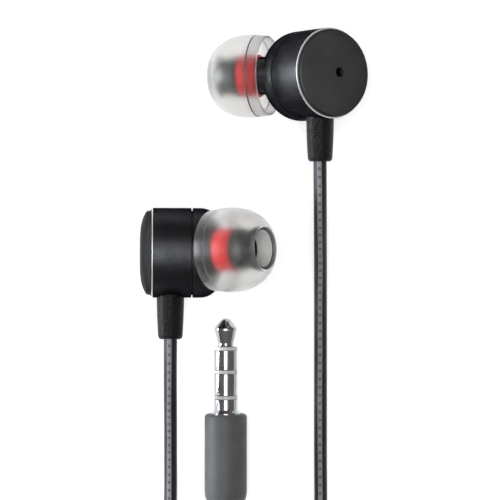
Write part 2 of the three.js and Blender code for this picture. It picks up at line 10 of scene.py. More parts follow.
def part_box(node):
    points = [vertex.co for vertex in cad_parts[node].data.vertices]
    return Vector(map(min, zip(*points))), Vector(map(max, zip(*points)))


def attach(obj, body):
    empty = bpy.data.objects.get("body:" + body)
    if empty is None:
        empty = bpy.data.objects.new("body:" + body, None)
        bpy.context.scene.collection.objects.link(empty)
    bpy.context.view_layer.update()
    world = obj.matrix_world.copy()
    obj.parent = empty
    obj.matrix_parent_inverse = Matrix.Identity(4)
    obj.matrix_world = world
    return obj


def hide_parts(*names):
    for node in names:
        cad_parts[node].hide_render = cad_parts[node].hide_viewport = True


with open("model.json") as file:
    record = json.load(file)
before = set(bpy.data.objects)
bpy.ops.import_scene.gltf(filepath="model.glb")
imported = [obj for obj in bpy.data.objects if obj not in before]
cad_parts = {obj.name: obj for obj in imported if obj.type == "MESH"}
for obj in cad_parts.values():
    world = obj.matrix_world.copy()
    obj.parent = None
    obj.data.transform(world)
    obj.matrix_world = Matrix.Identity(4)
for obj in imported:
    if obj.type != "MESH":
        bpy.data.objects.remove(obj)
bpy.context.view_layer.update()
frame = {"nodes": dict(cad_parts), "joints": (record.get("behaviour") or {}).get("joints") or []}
NODES = frame["nodes"]
MM = 0.001

# ---------------------------------------------------------------- camera

VIEW_CENTRE = Vector((-0.45, -9.37, 0)) * MM
VIEW_HEIGHT = 300 * MM
SENSOR_WIDTH = 36
LENS = 145.8

camera_data = bpy.data.cameras.new("camera")
camera_data.sensor_width = SENSOR_WIDTH
camera_data.lens = LENS
camera_data.clip_start = 0.01
camera = bpy.data.objects.new("camera", camera_data)
camera.location = VIEW_CENTRE + Vector((0, 0, VIEW_HEIGHT))
bpy.context.scene.collection.objects.link(camera)
bpy.context.scene.camera = camera

# ---------------------------------------------------------------- mesh helpers

SMOOTH_ANGLE = 35
STADIUM_POINTS = 64
CORD_SIDES = 20


def point_sum(terms):
    """The weighted sum of (weight, vector) terms."""
    total = Vector((0, 0, 0))
    for weight, vector in terms:
        total += weight * vector
    return total


def catmull_rom(points, spacing):
    """A smooth line through points, resampled about spacing apart."""
    pts = [Vector(p) for p in points]
    pts = [2 * pts[0] - pts[1]] + pts + [2 * pts[-1] - pts[-2]]
    line = []
    for a, b, c, d in zip(pts, pts[1:], pts[2:], pts[3:]):
        steps = max(1, round((c - b).length / spacing))
        for i in range(steps):
            t = i / steps
            line.append(0.5 * point_sum([
                (-t + 2 * t**2 - t**3, a), (2 - 5 * t**2 + 3 * t**3, b),
                (t + 4 * t**2 - 3 * t**3, c), (-t**2 + t**3, d),
            ]))
    line.append(pts[-2].copy())
    return line


def relaxed(line, passes):
    """The line with its corners eased, its two ends kept."""
    for _ in range(passes):
        inner = [0.25 * a + 0.5 * b + 0.25 * c for a, b, c in zip(line, line[1:], line[2:])]
        line = [line[0]] + inner + [line[-1]]
    return line


def line_length(line):
    return sum((b - a).length for a, b in zip(line, line[1:]))


def new_object(name, verts, faces, body, smooth_angle=SMOOTH_ANGLE):
    """A mesh that rides body, smooth except along edges sharper than smooth_angle in degrees."""
    mesh = bpy.data.meshes.new(name)
    mesh.from_pydata([tuple(v) for v in verts], [], faces)
    mesh.shade_smooth()
    mesh.set_sharp_from_angle(angle=math.radians(smooth_angle))
    obj = bpy.data.objects.new(name, mesh)
    bpy.context.scene.collection.objects.link(obj)
    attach(obj, body)
    return obj


def loft(name, rings, body, closed=False, smooth_angle=SMOOTH_ANGLE):
    """A skin over rings of points. closed joins the last ring to the first, or both ends are filled."""
    count = len(rings[0])
    verts = [v for ring in rings for v in ring]
    pairs = list(zip(range(len(rings)), range(1, len(rings))))
    if closed:
        pairs.append((len(rings) - 1, 0))
    faces = []
    for a, b in pairs:
        for i in range(count):
            j = (i + 1) % count
            faces.append((a * count + i, a * count + j, b * count + j, b * count + i))
    if not closed:
        for start, turn in ((0, -1), ((len(rings) - 1) * count, 1)):
            centre = sum((Vector(verts[start + i]) for i in range(count)), Vector()) / count
            verts.append(centre)
            for i in range(count):
                edge = (start + i, start + (i + 1) % count)
                faces.append((*edge[::turn], len(verts) - 1))
    return new_object(name, verts, faces, body, smooth_angle)


def rounded(outline, steps=5):
    """An outline of (x, y) or (x, y, size) points, where size rounds that corner."""
    result = []
    count = len(outline)
    for i, point in enumerate(outline):
        here = Vector(point[:2])
        size = point[2] if len(point) > 2 else 0
        if not size:
            result.append(tuple(here))
            continue
        before = Vector(outline[i - 1][:2]) - here
        after = Vector(outline[(i + 1) % count][:2]) - here
        start = here + before.normalized() * min(size, 0.5 * before.length)
        end = here + after.normalized() * min(size, 0.5 * after.length)
        for step in range(steps + 1):
            t = step / steps
            result.append(tuple((1 - t) ** 2 * start + 2 * t * (1 - t) * here + t**2 * end))
    return result


def lathe(name, profile, place, body, segments=96, section=None, smooth_angle=SMOOTH_ANGLE):
    """A closed profile of (along, radius) points in mm, turned about the local X axis of place.
    section(along, y, z) may move the points of a ring within its plane."""
    rings = []
    for along, radius in profile:
        ring = []
        for i in range(segments):
            angle = 2 * math.pi * i / segments
            y, z = radius * math.cos(angle), radius * math.sin(angle)
            if section:
                y, z = section(along, y, z)
            ring.append(place @ (Vector((along, y, z)) * MM))
        rings.append(ring)
    return loft(name, rings, body, closed=True, smooth_angle=smooth_angle)


def stadium(length, width, z, place):
    """A ring with straight sides and round ends, in mm, at height z."""
    radius = min(width, length) / 2
    ring = []
    for i in range(STADIUM_POINTS):
        angle = 2 * math.pi * (i + 0.5) / STADIUM_POINTS
        x = radius * math.cos(angle) + math.copysign(length / 2 - radius, math.cos(angle))
        ring.append(place @ (Vector((x, radius * math.sin(angle), z)) * MM))
    return ring


def tube(name, line, radius, body):
    """A round tube along line, with a UV map: U goes round from its underside, V is the length in mm."""
    sides = CORD_SIDES
    verts, faces, rows = [], [], []
    travelled = 0.0
    for i, point in enumerate(line):
        ahead = line[min(i + 1, len(line) - 1)] - line[max(i - 1, 0)]
        side = ahead.cross(Vector((0, 0, 1))).normalized()
        up = side.cross(ahead).normalized()
        if i:
            travelled += (point - line[i - 1]).length
        rows.append(travelled / MM)
        for k in range(sides):
            angle = 2 * math.pi * k / sides - math.pi
            verts.append(point + radius * (math.cos(angle) * up + math.sin(angle) * side))
    for i in range(len(line) - 1):
        for k in range(sides):
            j = (k + 1) % sides
            faces.append((i * sides + k, i * sides + j, (i + 1) * sides + j, (i + 1) * sides + k))
    faces.append(tuple(range(sides))[::-1])
    faces.append(tuple((len(line) - 1) * sides + k for k in range(sides)))
    obj = new_object(name, verts, faces, body)
    layer = obj.data.uv_layers.new(name="wrap")
    for face in obj.data.polygons[:-2]:
        row, k = divmod(face.index, sides)
        corners = ((k, row), (k + 1, row), (k + 1, row + 1), (k, row + 1))
        for loop, (across, along) in zip(face.loop_indices, corners):
            layer.data[loop].uv = (across / sides, rows[along])
    return obj


# ---------------------------------------------------------------- cords

CORD_RADIUS = 0.95
CORD_SPACING = 0.8 * MM
CORD_EASING = 6
COIL_CENTRE = Vector((0, -82, 0))
COIL_COLUMNS = (14.4, 12.45, 10.5, 8.55)
COIL_LAYERS = (1.57, 3.52, 5.47, 7.42, 9.37)
COIL_STEP = math.radians(9)
COLUMN_JOG = math.radians(60)

LEFT_ROUTE = [
    (9.6, 4.1, 9.43), (9.6, 3.1, 9.43), (9.62, 0, 9.3), (9.68, -4, 8.1), (9.8, -9, 5.2), (9.9, -14, 2.7),
    (9.95, -19, 1.4), (9.96, -24, 1.0), (9.96, -32, 1.0), (9.96, -40, 1.0), (10.0, -48, 1.0),
    (9.9, -55, 1.0), (8.5, -61, 1.1), (5.2, -65.6, 1.3),
]
RIGHT_UPPER_ROUTE = [
    (-11.93, -21.4, 7.65), (-11.93, -22.6, 7.74), (-11.95, -25.5, 7.7), (-12.0, -30, 6.2),
    (-12.08, -35, 3.5), (-12.15, -40, 1.6), (-12.18, -45, 1.0), (-12.4, -51, 1.0), (-13.9, -58, 1.0),
    (-16.4, -66, 1.0), (-18.4, -75, 1.0), (-19.2, -84, 1.0), (-19.3, -92, 1.0), (-19.0, -98, 1.2),
    (-18.0, -102.3, 1.9), (-16.3, -105.0, 2.6), (-14.3, -106, 2.75), (-13.4, -106, 2.75),
]
RIGHT_LOWER_ROUTE = [
    (13.4, -106, 2.75), (14.3, -106, 2.75), (16.5, -105.2, 2.5), (18.7, -102.6, 1.9),
    (19.5, -98.2, 1.5), (19.0, -93, 2.0), (17.3, -87.6, 2.7),
]
MAIN_ROUTE = [
    (6.4, -66.7, 8.2), (2.8, -63.6, 6.4), (-0.9, -60.9, 4.6), (-3.2, -58.8, 3.5),
    (-4.0, -56.5, 3.12), (-4.0, -55.2, 3.12),
]


def coil(start_degrees, total_degrees, stations):
    """Turns about the coil's centre. stations are the (column, layer) that each turn lies in."""
    points = []
    for i in range(round(math.radians(total_degrees) / COIL_STEP) + 1):
        turned = i * COIL_STEP
        turn = min(int(turned // (2 * math.pi)), len(stations) - 1)
        column, layer = stations[turn]
        radius, height = COIL_COLUMNS[column], COIL_LAYERS[layer]
        left = 2 * math.pi * (turn + 1) - turned
        if left < COLUMN_JOG and turn + 1 < len(stations):
            next_column, next_layer = stations[turn + 1]
            t = 1 - left / COLUMN_JOG
            ease = t * t * (3 - 2 * t)
            radius += ease * (COIL_COLUMNS[next_column] - radius)
            height += ease * (COIL_LAYERS[next_layer] - height)
        angle = math.radians(start_degrees) + turned
        spot = COIL_CENTRE + Vector((radius * math.cos(angle), radius * math.sin(angle), height))
        points.append(tuple(spot))
    return points


def cord_line(points):
    """The smooth line of a cord, in metres, through points in mm."""
    return relaxed(catmull_rom([Vector(p) * MM for p in points], CORD_SPACING), CORD_EASING)


LEFT_LINE = cord_line(
    LEFT_ROUTE[:-1] + [(5.2, -66.2, 1.4)]
    + coil(90, 1230, [(0, 0), (1, 0), (2, 0), (3, 0)])
    + [(-1.8, -89.9, 1.75), (0.6, -89.3, 1.95), (1.6, -87.9, 2.1), (1.65, -86.2, 2.2)]
)
RIGHT_UPPER_LINE = cord_line(RIGHT_UPPER_ROUTE)
RIGHT_LOWER_LINE = cord_line(
    RIGHT_LOWER_ROUTE + coil(0, 982, [(0, 1), (1, 1), (2, 1)])
    + [(1.0, -91.9, 3.1), (3.1, -90.6, 2.6), (3.6, -88.5, 2.3), (3.55, -86.2, 2.2)]
)
MAIN_LINE = cord_line(
    [(2.6, -78.2, 2.4), (2.6, -77.2, 2.45), (1.9, -75.3, 3.0), (-0.4, -73.9, 4.3)]
    + coil(110, 4240, [(3, 2), (2, 2), (1, 2), (0, 2), (0, 3), (1, 3), (2, 3), (3, 3),
                       (3, 4), (2, 4), (1, 4), (0, 4)])
    + [(10.6, -71.2, 9.3)] + MAIN_ROUTE
)

left_cord = tube("left_lead", LEFT_LINE, CORD_RADIUS * MM, "earphones")
right_upper_cord = tube("right_upper_lead", RIGHT_UPPER_LINE, CORD_RADIUS * MM, "earphones")
right_lower_cord = tube("right_lower_lead", RIGHT_LOWER_LINE, CORD_RADIUS * MM, "earphones")
main_cord = tube("main_lead", MAIN_LINE, CORD_RADIUS * MM, "earphones")
CORD_NODES = {
    left_cord: ("left_cord", "cord_coil"),
    right_upper_cord: ("right_cord_upper",),
    right_lower_cord: ("right_cord_lower", "cord_coil"),
    main_cord: ("main_cord", "cord_coil"),
}
for piece, nodes in CORD_NODES.items():
    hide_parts(*nodes)

# ---------------------------------------------------------------- materials


class Finish:
    """A Principled material. Its texture coordinates are the object's own, in millimetres."""

    def __init__(self, name, **values):
        self.material = bpy.data.materials.new(name)
        self.material.use_nodes = True
        self.tree = self.material.node_tree
        self.shader = self.tree.nodes["Principled BSDF"]
        for socket, value in values.items():
            socket = socket.replace("_", " ").title().replace("Ior", "IOR")
            self.shader.inputs[socket].default_value = value
        coordinates = self.node("ShaderNodeTexCoord").outputs["Object"]
        self.millimetres = self.scaled(coordinates, (1 / MM,) * 3)

    def node(self, kind, links=None, **settings):
        node = self.tree.nodes.new(kind)
        for key, value in settings.items():
            setattr(node, key, value)
        for key, value in (links or {}).items():
            if isinstance(value, bpy.types.NodeSocket):
                self.tree.links.new(value, node.inputs[key])
            else:
                node.inputs[key].default_value = value
        return node

    def scaled(self, vector, scale):
        return self.node("ShaderNodeMapping", {"Vector": vector, "Scale": scale}).outputs[0]

    def split(self, vector):
        return self.node("ShaderNodeSeparateXYZ", {0: vector}).outputs

    def maths(self, operation, a, b=0.0):
        return self.node("ShaderNodeMath", {0: a, 1: b}, operation=operation).outputs[0]

    def noise(self, per_mm, detail=3.0, stretch=(1, 1, 1)):
        links = {"Vector": self.scaled(self.millimetres, stretch), "Scale": per_mm, "Detail": detail}
        return self.node("ShaderNodeTexNoise", links).outputs[0]

    def cell_borders(self, per_mm):
        """The distance to the nearest border between pebble-like cells."""
        links = {"Vector": self.millimetres, "Scale": per_mm}
        return self.node("ShaderNodeTexVoronoi", links, feature="DISTANCE_TO_EDGE").outputs["Distance"]

    def spread(self, value, low, high, start=0.3, end=0.7):
        """Maps start..end to low..high. Most of a noise lies between the two default ends."""
        return self.node("ShaderNodeMapRange", {0: value, 1: start, 2: end, 3: low, 4: high}).outputs[0]

    def patches(self, per_mm, dark, light, detail=3.0):
        """Soft patches of two colours."""
        return self.blend(self.spread(self.noise(per_mm, detail), 0.0, 1.0), dark, light)

    def blend(self, factor, first, second):
        """A mix of two colours, each a tuple or a socket."""
        links = {0: factor}
        for socket, colour in ((6, first), (7, second)):
            links[socket] = (*colour, 1) if isinstance(colour, tuple) else colour
        return self.node("ShaderNodeMix", links, data_type="RGBA").outputs[2]

    def facing(self, blend):
        """0 where the surface is seen face on, 1 at its outline."""
        return self.node("ShaderNodeLayerWeight", {"Blend": blend}).outputs["Facing"]

    def colour(self, socket):
        self.tree.links.new(socket, self.shader.inputs["Base Color"])

    def roughness(self, socket):
        self.tree.links.new(socket, self.shader.inputs["Roughness"])

    def transmission(self, socket):
        self.tree.links.new(socket, self.shader.inputs["Transmission Weight"])

    def relief(self, *layers):
        """Bump layers of (height, depth in mm)."""
        normal = None
        for height, depth in layers:
            links = {"Height": height, "Distance": depth * MM, "Strength": 1.0}
            if normal:
                links["Normal"] = normal
            normal = self.node("ShaderNodeBump", links).outputs[0]
        self.tree.links.new(normal, self.shader.inputs["Normal"])

    def worn_edges(self):
        """Broken patches along the convex edges."""
        pointed = self.node("ShaderNodeNewGeometry").outputs["Pointiness"]
        edges = self.spread(pointed, 0.0, 1.0, 0.52, 0.6)
        return self.maths("MULTIPLY", edges, self.spread(self.noise(1.6), 0.0, 0.6, 0.45, 0.65))


def plain_finish(name, dark, light, rough, grain, depth, patch=0.35, wear=None, **values):
    """Patches of dark and light, patchy roughness, and a fine grain. grain and patch are counts per mm,
    depth is in mm, and wear is the colour of rubbed edges."""
    finish = Finish(name, **values)
    tint = finish.patches(patch, dark, light)
    if wear:
        tint = finish.blend(finish.worn_edges(), tint, wear)
    finish.colour(tint)
    fine = finish.noise(grain, 4.0)
    broad = finish.spread(finish.noise(patch * 2.3), rough - 0.05, rough + 0.04)
    finish.roughness(finish.maths("ADD", broad, finish.spread(fine, -0.03, 0.03)))
    finish.relief((fine, depth))
    return finish


def anodised():
    return plain_finish(
        "black_anodised", (0.043, 0.044, 0.047), (0.057, 0.0585, 0.063), rough=0.42, grain=22.0, depth=0.0016,
        wear=(0.16, 0.16, 0.165), metallic=1.0, specular_tint=(0.12, 0.12, 0.13, 1),
    )


def bright_metal():
    # Partly painted reflection: the polished ring's silver is mixed with diffuse near-white, so it reads
    # bright from every side.
    return plain_finish(
        "bright_edge_painted_reflection", (0.93, 0.935, 0.94), (0.98, 0.98, 0.985), rough=0.36, grain=14.0, depth=0.001,
        metallic=0.4,
    )


def matt_cap():
    """A lacquer with painted shade: its colour is darkened by Layer Weight where the cap is seen at a slant.
    """
    finish = plain_finish(
        "cap_lacquer_painted_outline_shade", (0.06, 0.0605, 0.061), (0.074, 0.075, 0.0755), rough=0.52, grain=15.0, depth=0.003,
        patch=0.2, specular_ior_level=0.06,
    )
    face_on = finish.shader.inputs["Base Color"].links[0].from_socket
    # Painted shade: the lacquer's colour is blended toward near black where the cap is seen at a slant.
    outline = finish.spread(finish.facing(0.5), 0.0, 1.0, 0.2, 0.62)
    finish.colour(finish.blend(outline, face_on, (0.0045, 0.0045, 0.0035)))
    return finish


def leather_rubber():
    finish = Finish("grained_rubber", specular_ior_level=0.24)
    pebbles = finish.spread(finish.cell_borders(3.6), 0.0, 1.0, 0.0, 0.16)
    fine = finish.noise(11.0, 4.0)
    tint = finish.blend(pebbles, (0.002, 0.002, 0.0021), (0.0042, 0.0042, 0.0044))
    finish.colour(finish.blend(finish.spread(finish.noise(0.7), 0.0, 0.35), tint, (0.006, 0.006, 0.0062)))
    creases = finish.spread(pebbles, 0.05, -0.02, 0, 1)
    finish.roughness(finish.maths("ADD", finish.spread(fine, 0.38, 0.47), creases))
    finish.relief((pebbles, 0.03), (fine, 0.01))
    return finish


def clear_silicone(name, dark, light, edge_on, specular):
    """Clear where it is seen face on. edge_on is how much light goes through it at its outline."""
    finish = Finish(name, ior=1.36, specular_ior_level=specular)
    finish.colour(finish.patches(0.15, dark, light))
    finish.roughness(finish.spread(finish.noise(0.35), 0.3, 0.34))
    finish.transmission(finish.spread(finish.facing(0.35), 0.985, edge_on, 0.2, 0.9))
    return finish


def solid_silicone(name, dark, light):
    return plain_finish(
        name, dark, light, rough=0.38, grain=7.0, depth=0.002, patch=0.3, specular_ior_level=0.45,
        subsurface_weight=0.12, subsurface_scale=0.0006,
    )


# Painted highlight: where the light band sits round the cord, facing up, and how wide it is.
HIGHLIGHT_MIDDLE = 0.522
HIGHLIGHT_HALF = 0.055
DOT_PITCH = 1.2
DOT_RADIUS = 0.15


def cord_jacket():
    """A dark jacket with a painted highlight, a light band along its top where the light falls, and a row of
    small rings down the band.
    The band's middle and half width are shares of the way round, and the rings are in mm."""
    finish = Finish("cord_jacket", specular_ior_level=0.35)
    maths, spread = finish.maths, finish.spread
    across, along, _ = finish.split(finish.node("ShaderNodeUVMap", uv_map="wrap").outputs[0])
    wander = spread(finish.noise(0.05, 1.0), -0.012, 0.012)
    offset = maths("SUBTRACT", maths("ADD", across, wander), HIGHLIGHT_MIDDLE)
    painted_highlight = spread(maths("ABSOLUTE", offset), 1.0, 0.0, HIGHLIGHT_HALF - 0.006, HIGHLIGHT_HALF + 0.012)

    in_pitch = maths("FRACT", maths("DIVIDE", along, DOT_PITCH))
    dot_along = maths("MULTIPLY", maths("SUBTRACT", in_pitch, 0.5), DOT_PITCH)
    dot_across = maths("MULTIPLY", offset, 2 * math.pi * CORD_RADIUS)
    squares = [maths("POWER", maths("ABSOLUTE", part), 2.0) for part in (dot_along, dot_across)]
    reach = maths("SQRT", maths("ADD", *squares))
    ring = spread(maths("ABSOLUTE", maths("SUBTRACT", reach, DOT_RADIUS)), 1.0, 0.0, 0.03, 0.09)

    jacket = finish.patches(0.9, (0.015, 0.0154, 0.0166), (0.022, 0.0226, 0.0245))
    # The painted highlight's colour.
    pale = finish.patches(0.9, (0.25, 0.264, 0.288), (0.31, 0.325, 0.352))
    highlighted = finish.blend(painted_highlight, jacket, pale)
    # Dark rings, bumped in too, break the painted highlight.
    finish.colour(finish.blend(maths("MULTIPLY", ring, 0.9), highlighted, (0.022, 0.023, 0.026)))
    fine = finish.noise(9.0, 4.0)
    finish.roughness(maths("ADD", spread(fine, 0.42, 0.52), maths("MULTIPLY", painted_highlight, 0.06)))
    finish.relief((fine, 0.006), (maths("SUBTRACT", 1.0, ring), 0.02))
    return finish


def plated(name, dark, light, rough):
    """Bare metal with fine drawing lines."""
    finish = Finish(name, metallic=1.0)
    lines = finish.noise(3.0, 4.0, stretch=(1, 9, 1))
    finish.colour(finish.patches(0.4, dark, light))
    smears = finish.spread(finish.noise(0.8), -0.02, 0.03)
    finish.roughness(finish.maths("ADD", finish.spread(lines, rough - 0.03, rough + 0.05), smears))
    finish.relief((lines, 0.0012))
    return finish


def woven_wire():
    finish = Finish("woven_wire", metallic=1.0)
    x, y, z = finish.split(finish.scaled(finish.millimetres, (32, 32, 32)))
    weft = finish.maths("SINE", finish.maths("ADD", x, z))
    weave = finish.maths("MULTIPLY", finish.maths("SINE", y), weft)
    wire = finish.spread(weave, 0.0, 1.0, -0.35, 0.45)
    tint = finish.blend(wire, (0.004, 0.004, 0.004), (0.06, 0.06, 0.063))
    finish.colour(finish.blend(finish.spread(finish.noise(0.9), 0.0, 0.25), tint, (0.03, 0.028, 0.026)))
    finish.roughness(finish.spread(weave, 0.55, 0.32, -1, 1))
    finish.relief((wire, 0.03))
    return finish


def wound_copper():
    finish = Finish("enamelled_copper", metallic=1.0)
    x, _, z = finish.split(finish.scaled(finish.millimetres, (90, 90, 90)))
    turns = finish.maths("SINE", finish.maths("ADD", x, finish.maths("MULTIPLY", z, 0.2)))
    finish.colour(finish.blend(finish.spread(turns, 0.0, 1.0, -1, 1), (0.36, 0.13, 0.05), (0.78, 0.38, 0.2)))
    finish.roughness(finish.spread(finish.noise(6.0), 0.26, 0.38))
    finish.relief((turns, 0.012))
    return finish


def circuit_board():
    finish = Finish("solder_mask", specular_ior_level=0.5)
    tracks = finish.node("ShaderNodeTexBrick", {
        "Vector": finish.millimetres, "Scale": 1.1, "Mortar Size": 0.03,
        "Color1": (0.0, 0.0, 0.0, 1), "Color2": (0.2, 0.2, 0.2, 1), "Mortar": (1, 1, 1, 1),
    }).outputs[0]
    mask = finish.patches(0.8, (0.012, 0.075, 0.035), (0.02, 0.11, 0.05))
    finish.colour(finish.blend(tracks, mask, (0.05, 0.2, 0.1)))
    finish.roughness(finish.spread(finish.noise(5.0), 0.24, 0.36))
    finish.relief((tracks, 0.01))
    return finish


def diaphragm_film():
    return plain_finish(
        "thin_film", (0.5, 0.53, 0.57), (0.66, 0.69, 0.73), rough=0.24, grain=6.0, depth=0.002, patch=0.6,
        transmission_weight=0.35, specular_ior_level=0.55,
    )


def white_insulator():
    return plain_finish(
        "white_insulator", (0.66, 0.66, 0.64), (0.76, 0.76, 0.745), rough=0.36, grain=9.0, depth=0.002,
    )


def soft_touch_grey():
    return plain_finish(
        "soft_touch_grey", (0.105, 0.107, 0.11), (0.128, 0.13, 0.134), rough=0.52, grain=13.0, depth=0.006,
        wear=(0.19, 0.19, 0.195), specular_ior_level=0.25,
    )


def textured_plastic():
    return plain_finish(
        "textured_plastic", (0.014, 0.014, 0.015), (0.021, 0.021, 0.0225), rough=0.46, grain=8.0, depth=0.01,
        wear=(0.05, 0.05, 0.052), specular_ior_level=0.45,
    )


FINISHES = {
    "anodised": anodised(),
    "bright_metal": bright_metal(),
    "matt_cap": matt_cap(),
    "soft_black": leather_rubber(),
    "silicone_clear": clear_silicone("milky_silicone", (0.972, 0.972, 0.95), (0.99, 0.99, 0.975), 0.6, 0.3),
    # Painted shade: the skirt is the dome's milky silicone given a greyer tint.
    "silicone_skirt": clear_silicone("thin_skirt_painted_shade", (0.7, 0.7, 0.708), (0.78, 0.78, 0.788), 0.96, 0.1),
    "silicone_grey": solid_silicone("grey_silicone", (0.022, 0.023, 0.026), (0.032, 0.033, 0.037)),
    # Painted shade: the darker line along the dome's crease; the lip round the mouth takes the same grey.
    "silicone_crease_shade_and_lip": solid_silicone("painted_crease_shade_and_grey_lip", (0.16, 0.16, 0.165), (0.24, 0.24, 0.245)),
    "silicone_lining": solid_silicone("pale_bore", (0.7, 0.7, 0.68), (0.78, 0.78, 0.76)),
    "silicone_red": solid_silicone("red_silicone", (0.84, 0.02, 0.024), (0.92, 0.032, 0.036)),
    "steel": plated("pressed_steel", (0.42, 0.42, 0.43), (0.58, 0.58, 0.59), 0.34),
    "magnet": plated("nickel_plated_magnet", (0.46, 0.45, 0.43), (0.6, 0.59, 0.57), 0.22),
    "copper": wound_copper(),
    "film": diaphragm_film(),
    "mesh": woven_wire(),
    "board": circuit_board(),
    "cord": cord_jacket(),
    "nickel": plated("plated_contact", (0.48, 0.485, 0.5), (0.57, 0.575, 0.59), 0.16),
    "insulator": white_insulator(),
    "grip": soft_touch_grey(),
    "remote_plastic": textured_plastic(),
}
MATERIALS = {slot: finish.material for slot, finish in FINISHES.items()}


def dress(obj, slot, *nodes):
    """Gives a piece its slot's finish, and hides the CAD nodes that it stands for."""
    obj.data.materials.clear()
    obj.data.materials.append(MATERIALS[slot])
    if nodes:
        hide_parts(*nodes)
    return obj


for piece in CORD_NODES:
    piece.data.materials.append(MATERIALS["cord"])

CAD_FINISHES = {
    "vent_screen": "mesh", "nozzle_screen": "mesh", "driver_frame": "remote_plastic",
    "driver_yoke": "steel", "driver_magnet": "magnet", "driver_top_plate": "steel",
    "voice_coil": "copper", "diaphragm": "film", "terminal_board": "board",
    "cord_knot": "remote_plastic", "remote_board": "board", "remote_switch": "steel",
    "remote_microphone": "magnet",
}
for name, node in NODES.items():
    for ending, slot in CAD_FINISHES.items():
        if name.endswith(ending):
            node.data.materials.clear()
            node.data.materials.append(MATERIALS[slot])

# ---------------------------------------------------------------- places, from the frame


def middle(node):
    low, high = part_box(node)
    return (low + high) / 2


def frame_on(origin, along, y_axis=Vector((0, 1, 0))):
    """A place whose X axis runs along, with Y as near to y_axis as it can be."""
    x = along.normalized()
    z = x.cross(y_axis).normalized()
    y = z.cross(x)
    return Matrix.Translation(origin) @ Matrix((x, y, z)).transposed().to_4x4()


JOINTS = {joint["name"]: joint for joint in frame["joints"]}

VENT_SCREEN_ALONG = -0.88
NOZZLE_SCREEN_ALONG = 13.3
KNOT_ALONG = 2.7
TIP_REAR = 8.25


def bud_places(side):
    """The bud's own place, with X from the trim ring toward the ear and -Y down the stem, and the
    nozzle's place, with X along it."""
    vent, magnet = middle(f"{side}_vent_screen"), middle(f"{side}_driver_magnet")
    axis = (magnet - vent).normalized()
    origin = vent - axis * VENT_SCREEN_ALONG * MM
    bud = frame_on(origin, axis, origin + axis * KNOT_ALONG * MM - middle(f"{side}_cord_knot"))
    nozzle_axis = Vector(JOINTS[f"{side}_eartip_pull"]["axis"])
    nozzle = frame_on(middle(f"{side}_nozzle_screen") - nozzle_axis * NOZZLE_SCREEN_ALONG * MM, nozzle_axis)
    return bud, nozzle


# ---------------------------------------------------------------- earphone bodies

BODY_SEGMENTS, NECK_SEGMENTS = 112, 80
BARREL_RADIUS, BARREL_BORE = 6.5, 5.72
BARREL_START, BARREL_END = 0.18, 5.75
SOCKET_RADIUS, SOCKET_START = 6.17, 4.86
SPIGOT_RADIUS, SPIGOT_START = 6.09, 4.96
SEAM_WIDTH = 0.2
HOUSING_BORE = 5.26
HOUSING_CORNER_START, HOUSING_CORNER_RADIUS = 7.1, 2.8
CAP_RADIUS, CAP_EDGE, CAP_CROWN, CAP_CROWN_POWER = 6.1, -0.7, 1.0, 4.2
CAP_FOOT_START, CAP_FOOT_RADIUS = -0.16, 6.28
CAP_SPIGOT_RADIUS, CAP_BORE, CAP_FOOT_END, CAP_SPIGOT_END = 5.5, 5.02, -0.01, 0.68
VENT_RADIUS = 0.66
RING_START, RING_END, RING_RADIUS, RING_BORE = 0.02, 0.15, 6.47, 5.62
STEM_ALONG = 2.75
BOOT_LENGTH, BOOT_TOP_RADIUS, BOOT_END_RADIUS = 6.0, 2.02, 1.76
NOZZLE_RADIUS, NOZZLE_LIP_RADIUS, NOZZLE_COLLAR_RADIUS = 2.1, 2.28, 2.75
NOZZLE_START, NOZZLE_COLLAR_END, NOZZLE_END = 7.2, 9.5, 13.6
NOZZLE_BORE, SCREEN_SEAT = 1.5, 0.4
BOOT_START, BOOT_BORE = 6.0, 0.9


def arc(centre_along, centre_radius, size, start, end, steps):
    """Points of a round corner, its angles in degrees from the axis."""
    points = []
    for i in range(steps + 1):
        angle = math.radians(start + (end - start) * i / steps)
        points.append((centre_along + size * math.cos(angle), centre_radius + size * math.sin(angle)))
    return points


def cap_profile():
    """A flat crown with a rounded rim, a foot that meets the trim ring, and a spigot inside the barrel."""
    crown = []
    steps = 24
    first, last = VENT_RADIUS + 0.07, CAP_RADIUS - 0.1
    for i in range(steps + 1):
        radius = first + (last - first) * math.sin(math.pi / 2 * i / steps)
        crown.append((CAP_EDGE - CAP_CROWN * (1 - (radius / CAP_RADIUS) ** CAP_CROWN_POWER), radius))
    rest = rounded([
        (CAP_EDGE + 0.05, CAP_RADIUS, 0.12), (CAP_FOOT_START, CAP_RADIUS, 0.05),
        (CAP_FOOT_START, CAP_FOOT_RADIUS, 0.05), (CAP_FOOT_END, CAP_FOOT_RADIUS),
        (CAP_FOOT_END, CAP_SPIGOT_RADIUS), (CAP_SPIGOT_END, CAP_SPIGOT_RADIUS - 0.02, 0.05),
        (CAP_SPIGOT_END, CAP_BORE), (-0.4, CAP_BORE), (-0.98, 3.0), (-1.02, VENT_RADIUS),
        (CAP_EDGE - CAP_CROWN + 0.08, VENT_RADIUS, 0.06),
    ], 3)
    return crown + rest


def barrel_profile():
    return rounded([
        (BARREL_START, BARREL_BORE), (BARREL_START, BARREL_RADIUS, 0.08), (BARREL_END, BARREL_RADIUS, 0.14),
        (BARREL_END, SOCKET_RADIUS), (SOCKET_START, SOCKET_RADIUS), (SOCKET_START, BARREL_BORE),
    ], 4)


